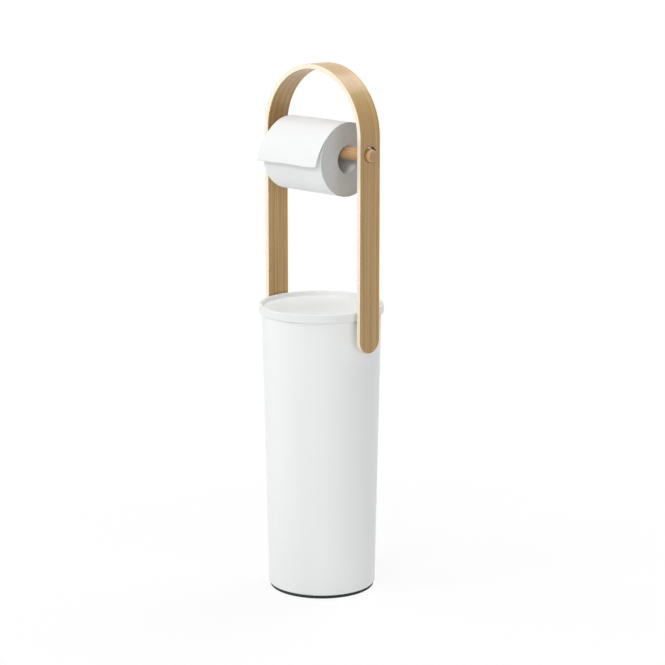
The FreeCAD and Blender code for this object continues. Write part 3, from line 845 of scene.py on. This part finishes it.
# %% [markdown]
# ## The board tube
# The tube in the roll is two strips of pale grey board wound in a spiral and glued. Inside it shows one
# spiral joint, a shallow groove where a strip's two edges meet. The tube is a closed section carried round
# the axis, and the groove is cut where the way along and the way round agree.

# %% The tube and its spiral joint
BOARD_THICKNESS = 1.0
JOINT_PITCH = 62.0
JOINT_WIDTH = 0.9
JOINT_DEPTH = 0.18
TUBE_COLUMNS = 192
INSIDE_ROWS = 180
OUTSIDE_ROWS = 6


def tube_grid():
    """Rows run along the bore and back along the outside, columns round the axis.

    The groove's depth is a bell curve of the distance along the tube from the nearest turn of the joint.
    """
    angle = full_turn(TUBE_COLUMNS)
    inside_x = np.linspace(ROLL_LEFT, ROLL_RIGHT, INSIDE_ROWS)[:, None]
    way = (inside_x / JOINT_PITCH + angle / (2 * np.pi) + 0.5) % 1 - 0.5
    groove = JOINT_DEPTH * np.exp(-((way * JOINT_PITCH / JOINT_WIDTH) ** 2))
    inside = about_roll(inside_x, CORE_RADIUS - BOARD_THICKNESS + groove, angle)
    outside_x = np.linspace(ROLL_RIGHT, ROLL_LEFT, OUTSIDE_ROWS)[:, None]
    return np.concatenate([inside, about_roll(outside_x, CORE_RADIUS, angle)])


board_tube = closed_piece("board_tube", tube_grid(), close_rows=True)
print("tube wall", BOARD_THICKNESS, "mm, joint every", JOINT_PITCH, "mm")

# %% Grey board
BOARD_DARK = seen(230, 233, 235)
BOARD_LIGHT = seen(245, 248, 250)
FLECK_LEVEL = 0.66
RIM_DEPTH = 0.25


def grey_board():
    """Grey board: short fibres at all angles and darker flecks of recycled pulp, dusty on its cut ends."""
    board = Finish("grey_board", Specular_IOR_Level=0.2)
    place = board.place()
    fibres = board.noise(place, size_mm=(1.6, 0.6, 0.6), detail=4.0, roughness=0.65)
    flecks = board.noise(place, size_mm=(0.9, 0.9, 0.9), detail=1.0).over(FLECK_LEVEL, steepness=12.0)
    plain = board.mix((fibres - 0.35 * flecks).clamped(), BOARD_DARK, BOARD_LIGHT)
    from_middle = (place[0] - (ROLL_RIGHT + ROLL_LEFT) / 2).to("ABSOLUTE")
    rim = from_middle.over(ROLL_LENGTH / 2 - RIM_DEPTH, steepness=8.0)
    board.feed("Base Color", board.mix(rim, plain, TURNS_DARK))
    board.feed("Roughness", 0.82 + 0.12 * fibres)
    board.relief(fibres, depth_mm=0.06, strength=0.5)
    return board


board_tube.data.materials.append(grey_board().material)
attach(board_tube, "roll")
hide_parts("cardboard_core")
print("the tube stands for cardboard_core")

# %% [markdown]
# ## Screws, washers and inserts
# Four pan-head screws go through the canister's wall and the spacers into brass inserts in the arms. They
# show when the lid is off, so the heads get their cross recess. A head is a dome over the distance from the
# screw's axis, and the recess is a cross-shaped pit with sloping sides: at each point the shorter distance
# to the two arms of the cross decides how deep it is.

# %% A pan-head screw with a cross recess
SCREW_LENGTH = 15.6
HEAD_HEIGHT = 2.6
SHANK_RADIUS = 1.75
DOME_HEIGHT = 0.75
RECESS_REACH = 1.95
RECESS_WIDTH = 0.42
RECESS_DEPTH = 1.3
RECESS_TAPER = 0.45
SIDE_SLOPE = 0.25
END_SLOPE = 0.35
HEAD_EASE = 0.15
SEAT_EASE = 0.12
TIP_EASE = 0.5
HEAD_ROWS = 40
SCREW_COLUMNS = 96


def head_top(radius, angle):
    """Height of the head's top: a dome, less the cross-shaped pit, which is shallower farther out."""
    across = radius * np.cos(angle)
    up = radius * np.sin(angle)
    from_cross = np.minimum(np.abs(across), np.abs(up)) - RECESS_WIDTH
    sides = np.clip(0.5 - from_cross / SIDE_SLOPE, 0, 1)
    ends = np.clip((RECESS_REACH - radius) / END_SLOPE, 0, 1)
    taper = 1 - RECESS_TAPER * radius / RECESS_REACH
    return -DOME_HEIGHT * (radius / HEAD_RADIUS) ** 2 - RECESS_DEPTH * taper * sides * ends


def screw_grid(side, height):
    """Rows run from the middle of the head outwards, round the head and down the shank to its end.

    Each point has a way along the screw, a radius and an angle, and is laid along X on one side.
    """
    angle = full_turn(SCREW_COLUMNS)
    head = np.linspace(0, HEAD_RADIUS, HEAD_ROWS)[:, None]
    stem = np.array([
        (HEAD_HEIGHT - HEAD_EASE, HEAD_RADIUS),
        (HEAD_HEIGHT, HEAD_RADIUS - SEAT_EASE),
        (HEAD_HEIGHT, SHANK_RADIUS),
        (SCREW_LENGTH - TIP_EASE, SHANK_RADIUS),
        (SCREW_LENGTH, SHANK_RADIUS - TIP_EASE),
        (SCREW_LENGTH, 0.0),
    ])
    top = joined(-head_top(head, angle), head, angle)
    rest = joined(stem[:, :1], stem[:, 1:], angle)
    way, radius, turned = np.moveaxis(np.concatenate([top, rest]), -1, 0)
    x = side * (SCREW_TIP - SCREW_LENGTH + way)
    return joined(x, radius * np.cos(turned), height + radius * np.sin(turned))


print("screw", SCREW_LENGTH, "mm long, head", round(2 * HEAD_RADIUS, 2), "mm across")

# %% Plated metal, and the four screws
def plated_metal(name, dark, light, roughness):
    """Plated or turned metal: fine drawn lines in the gloss and slight cloudiness in the tone."""
    metal = Finish(name, Metallic=1.0)
    place = metal.place()
    clouds = metal.noise(place, size_mm=(3, 3, 3), detail=3.0)
    lines = metal.noise(place, size_mm=(0.12, 1.5, 1.5))
    metal.feed("Base Color", metal.mix(clouds, dark, light))
    metal.feed("Roughness", roughness + 0.15 * lines)
    return metal


zinc = plated_metal("zinc_plate", seen(176, 178, 178), seen(205, 206, 204), roughness=0.28)
brass = plated_metal("turned_brass", seen(186, 150, 88), seen(212, 178, 112), roughness=0.25)
dress(zinc, "screw_washers")
dress(brass, "threaded_inserts")
screws = []
for side, side_name in ((1, "right"), (-1, "left")):
    for height, height_name in zip(SCREW_HEIGHTS, ("low", "high")):
        screw = closed_piece(f"{side_name}_{height_name}_screw", screw_grid(side, height), close_rows=False)
        screw.data.materials.append(zinc.material)
        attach(screw, "stand")
        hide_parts("arm_screws")
        screws.append(screw)
print(len(screws), "screws stand for arm_screws")

# %% [markdown]
# ## White ground
# The stand is seen on a plain white ground. A lit white floor would never be evenly white, so the floor and
# the surroundings show white to the eye, but give no light of their own. Near the stand a part of what is
# seen of the floor is lit, so the stand keeps its soft shadow there.

# %% Floor and surroundings
FLOOR_HALF = 30000.0
FLOOR_GREY = (0.88, 0.88, 0.88, 1.0)
FLOOR_LIT_SHARE = 0.14
PURE_WHITE = (1.0, 1.0, 1.0, 1.0)
SHADOW_FULL = 100.0
SHADOW_FADE = 500.0


def seen_directly(recipe):
    """1 for what the eye sees straight, in a reflection or through glass, otherwise 0."""
    path = recipe.add("ShaderNodeLightPath").socket.node
    shares = [Flow(recipe, path.outputs[f"Is {kind} Ray"]) for kind in ("Camera", "Glossy", "Transmission")]
    return sum(shares[1:], shares[0]).clamped()


def white_ground():
    """Plain white where it is seen, with a lit share near the stand that fades out with the distance."""
    material = bpy.data.materials.new("white_ground")
    material.use_nodes = True
    recipe = Recipe(material.node_tree)
    lit = recipe.add("ShaderNodeBsdfDiffuse", (), {"Color": FLOOR_GREY})
    plain = recipe.add("ShaderNodeEmission", (), {"Color": PURE_WHITE, "Strength": 1.0})
    x, y, _ = recipe.place()
    near = off_axis(x, y).under(SHADOW_FULL + SHADOW_FADE, steepness=1 / SHADOW_FADE)
    share = seen_directly(recipe) * (1 - FLOOR_LIT_SHARE * near)
    ground = recipe.add("ShaderNodeMixShader", (), {0: share, 1: lit, 2: plain})
    recipe.add("ShaderNodeOutputMaterial", (), {"Surface": ground})
    return material


edge = np.array([-FLOOR_HALF, FLOOR_HALF])
across, deep = np.meshgrid(edge, edge, indexing="xy")
floor = surface_piece("floor", np.stack([across, deep, 0 * across], axis=-1), flip=True)
floor.data.materials.append(white_ground())

world = bpy.data.worlds.new("soft_surroundings")
world.use_nodes = True
bpy.context.scene.world = world
sky = Recipe(world.node_tree)
background = sky.add("ShaderNodeBackground", (), {"Color": PURE_WHITE, "Strength": seen_directly(sky)})
sky.add("ShaderNodeOutputWorld", (), {"Surface": background})
print("floor", 2 * FLOOR_HALF * MM, "m wide, white surroundings")

# %% [markdown]
# ## Soft light
# Two smaller lamps at the front and a low one at the left give the shadows their edges, and large soft
# lamps at the right, behind and overhead fill them. So the canister grows darker towards its right side,
# the lid's tray is shaded on its left and the top of the arch is the wood's lightest part. The levels were
# found by rendering each lamp alone and fitting their sum to tones in the photograph. The low lamp behind
# is kept out of reflections, because from the front its glare would whiten the flat tray. A lamp's level is
# how bright a white card that faces it would look, with 1 for full white.

# %% Lamps
# Name, bearing from the front to the right, height angle, width in metres, level at the stand.
LAMPS = [
    ("high_key_lamp", 340, 50, 0.6, 0.253),
    ("key_lamp", 20, 30, 0.6, 0.229),
    ("low_left_lamp", 300, 5, 0.8, 0.302),
    ("front_right_lamp", 45, 15, 1.7, 0.222),
    ("right_lamp", 90, 15, 1.7, 0.129),
    ("back_lamp", 180, 15, 1.7, 0.262),
    ("high_back_lamp", 180, 60, 1.7, 0.367),
    ("overhead_lamp", 0, 88, 1.7, 0.405),
]
NO_GLARE = {"back_lamp"}
LAMP_DISTANCE = 2.6
AIM = Vector((0.0, 0.0, 0.4))


def direction_to(bearing, height):
    """The direction to a lamp: its bearing in degrees is counted from the front towards the right."""
    round_angle, up_angle = math.radians(bearing), math.radians(height)
    level = math.cos(up_angle)
    return Vector((level * math.sin(round_angle), -level * math.cos(round_angle), math.sin(up_angle)))


for name, bearing, height, width, level in LAMPS:
    lamp = bpy.data.lights.new(name, "AREA")
    lamp.shape = "DISK"
    lamp.size = width
    lamp.energy = level * math.pi ** 2 * LAMP_DISTANCE ** 2
    holder = bpy.data.objects.new(name, lamp)
    toward = direction_to(bearing, height)
    holder.location = AIM + toward * LAMP_DISTANCE
    holder.rotation_euler = toward.to_track_quat("Z", "Y").to_euler()
    holder.visible_camera = False
    holder.visible_glossy = name not in NO_GLARE
    bpy.context.scene.collection.objects.link(holder)
print(len(LAMPS), "lamps at", LAMP_DISTANCE, "m")

# %% [markdown]
# ## Camera
# The camera stands to the right of the front, a little above the stand, and looks slightly down. A long
# lens far away gives the photograph's mild perspective. The values come from fitting a pinhole camera to
# the stand's edges: how far it stands off and how high, its bearing round the stand, and how it is turned
# there.

# %% Camera at the photograph's place
FRAME_PIXELS = 665
FOCAL_PIXELS = 2237.2
SENSOR_WIDTH = 36.0
STAND_OFF = 2.72995
EYE_HEIGHT = 0.92601
BEARING = math.radians(46.370)
YAW = math.radians(-0.284)
PITCH = math.radians(12.378)

turn = BEARING + YAW
ahead = Vector((-math.sin(turn), math.cos(turn), 0.0))
right = Vector((math.cos(turn), math.sin(turn), 0.0))
forward = math.cos(PITCH) * ahead - math.sin(PITCH) * Vector((0, 0, 1))
upward = right.cross(forward)
camera = bpy.data.objects.new("camera", bpy.data.cameras.new("camera"))
camera.data.sensor_width = SENSOR_WIDTH
camera.data.lens = FOCAL_PIXELS / FRAME_PIXELS * SENSOR_WIDTH
turned = Matrix((right, upward, -forward)).transposed().to_4x4()
eye = Vector((STAND_OFF * math.sin(BEARING), -STAND_OFF * math.cos(BEARING), EYE_HEIGHT))
camera.matrix_world = Matrix.Translation(eye) @ turned
bpy.context.scene.collection.objects.link(camera)
bpy.context.scene.camera = camera
bpy.context.scene.view_settings.view_transform = "Standard"
print("camera at", [round(part, 3) for part in eye], "lens", round(camera.data.lens, 1), "mm")

# %% [markdown]
# ## The size
# The new pieces may not make the stand bigger than the solid model.
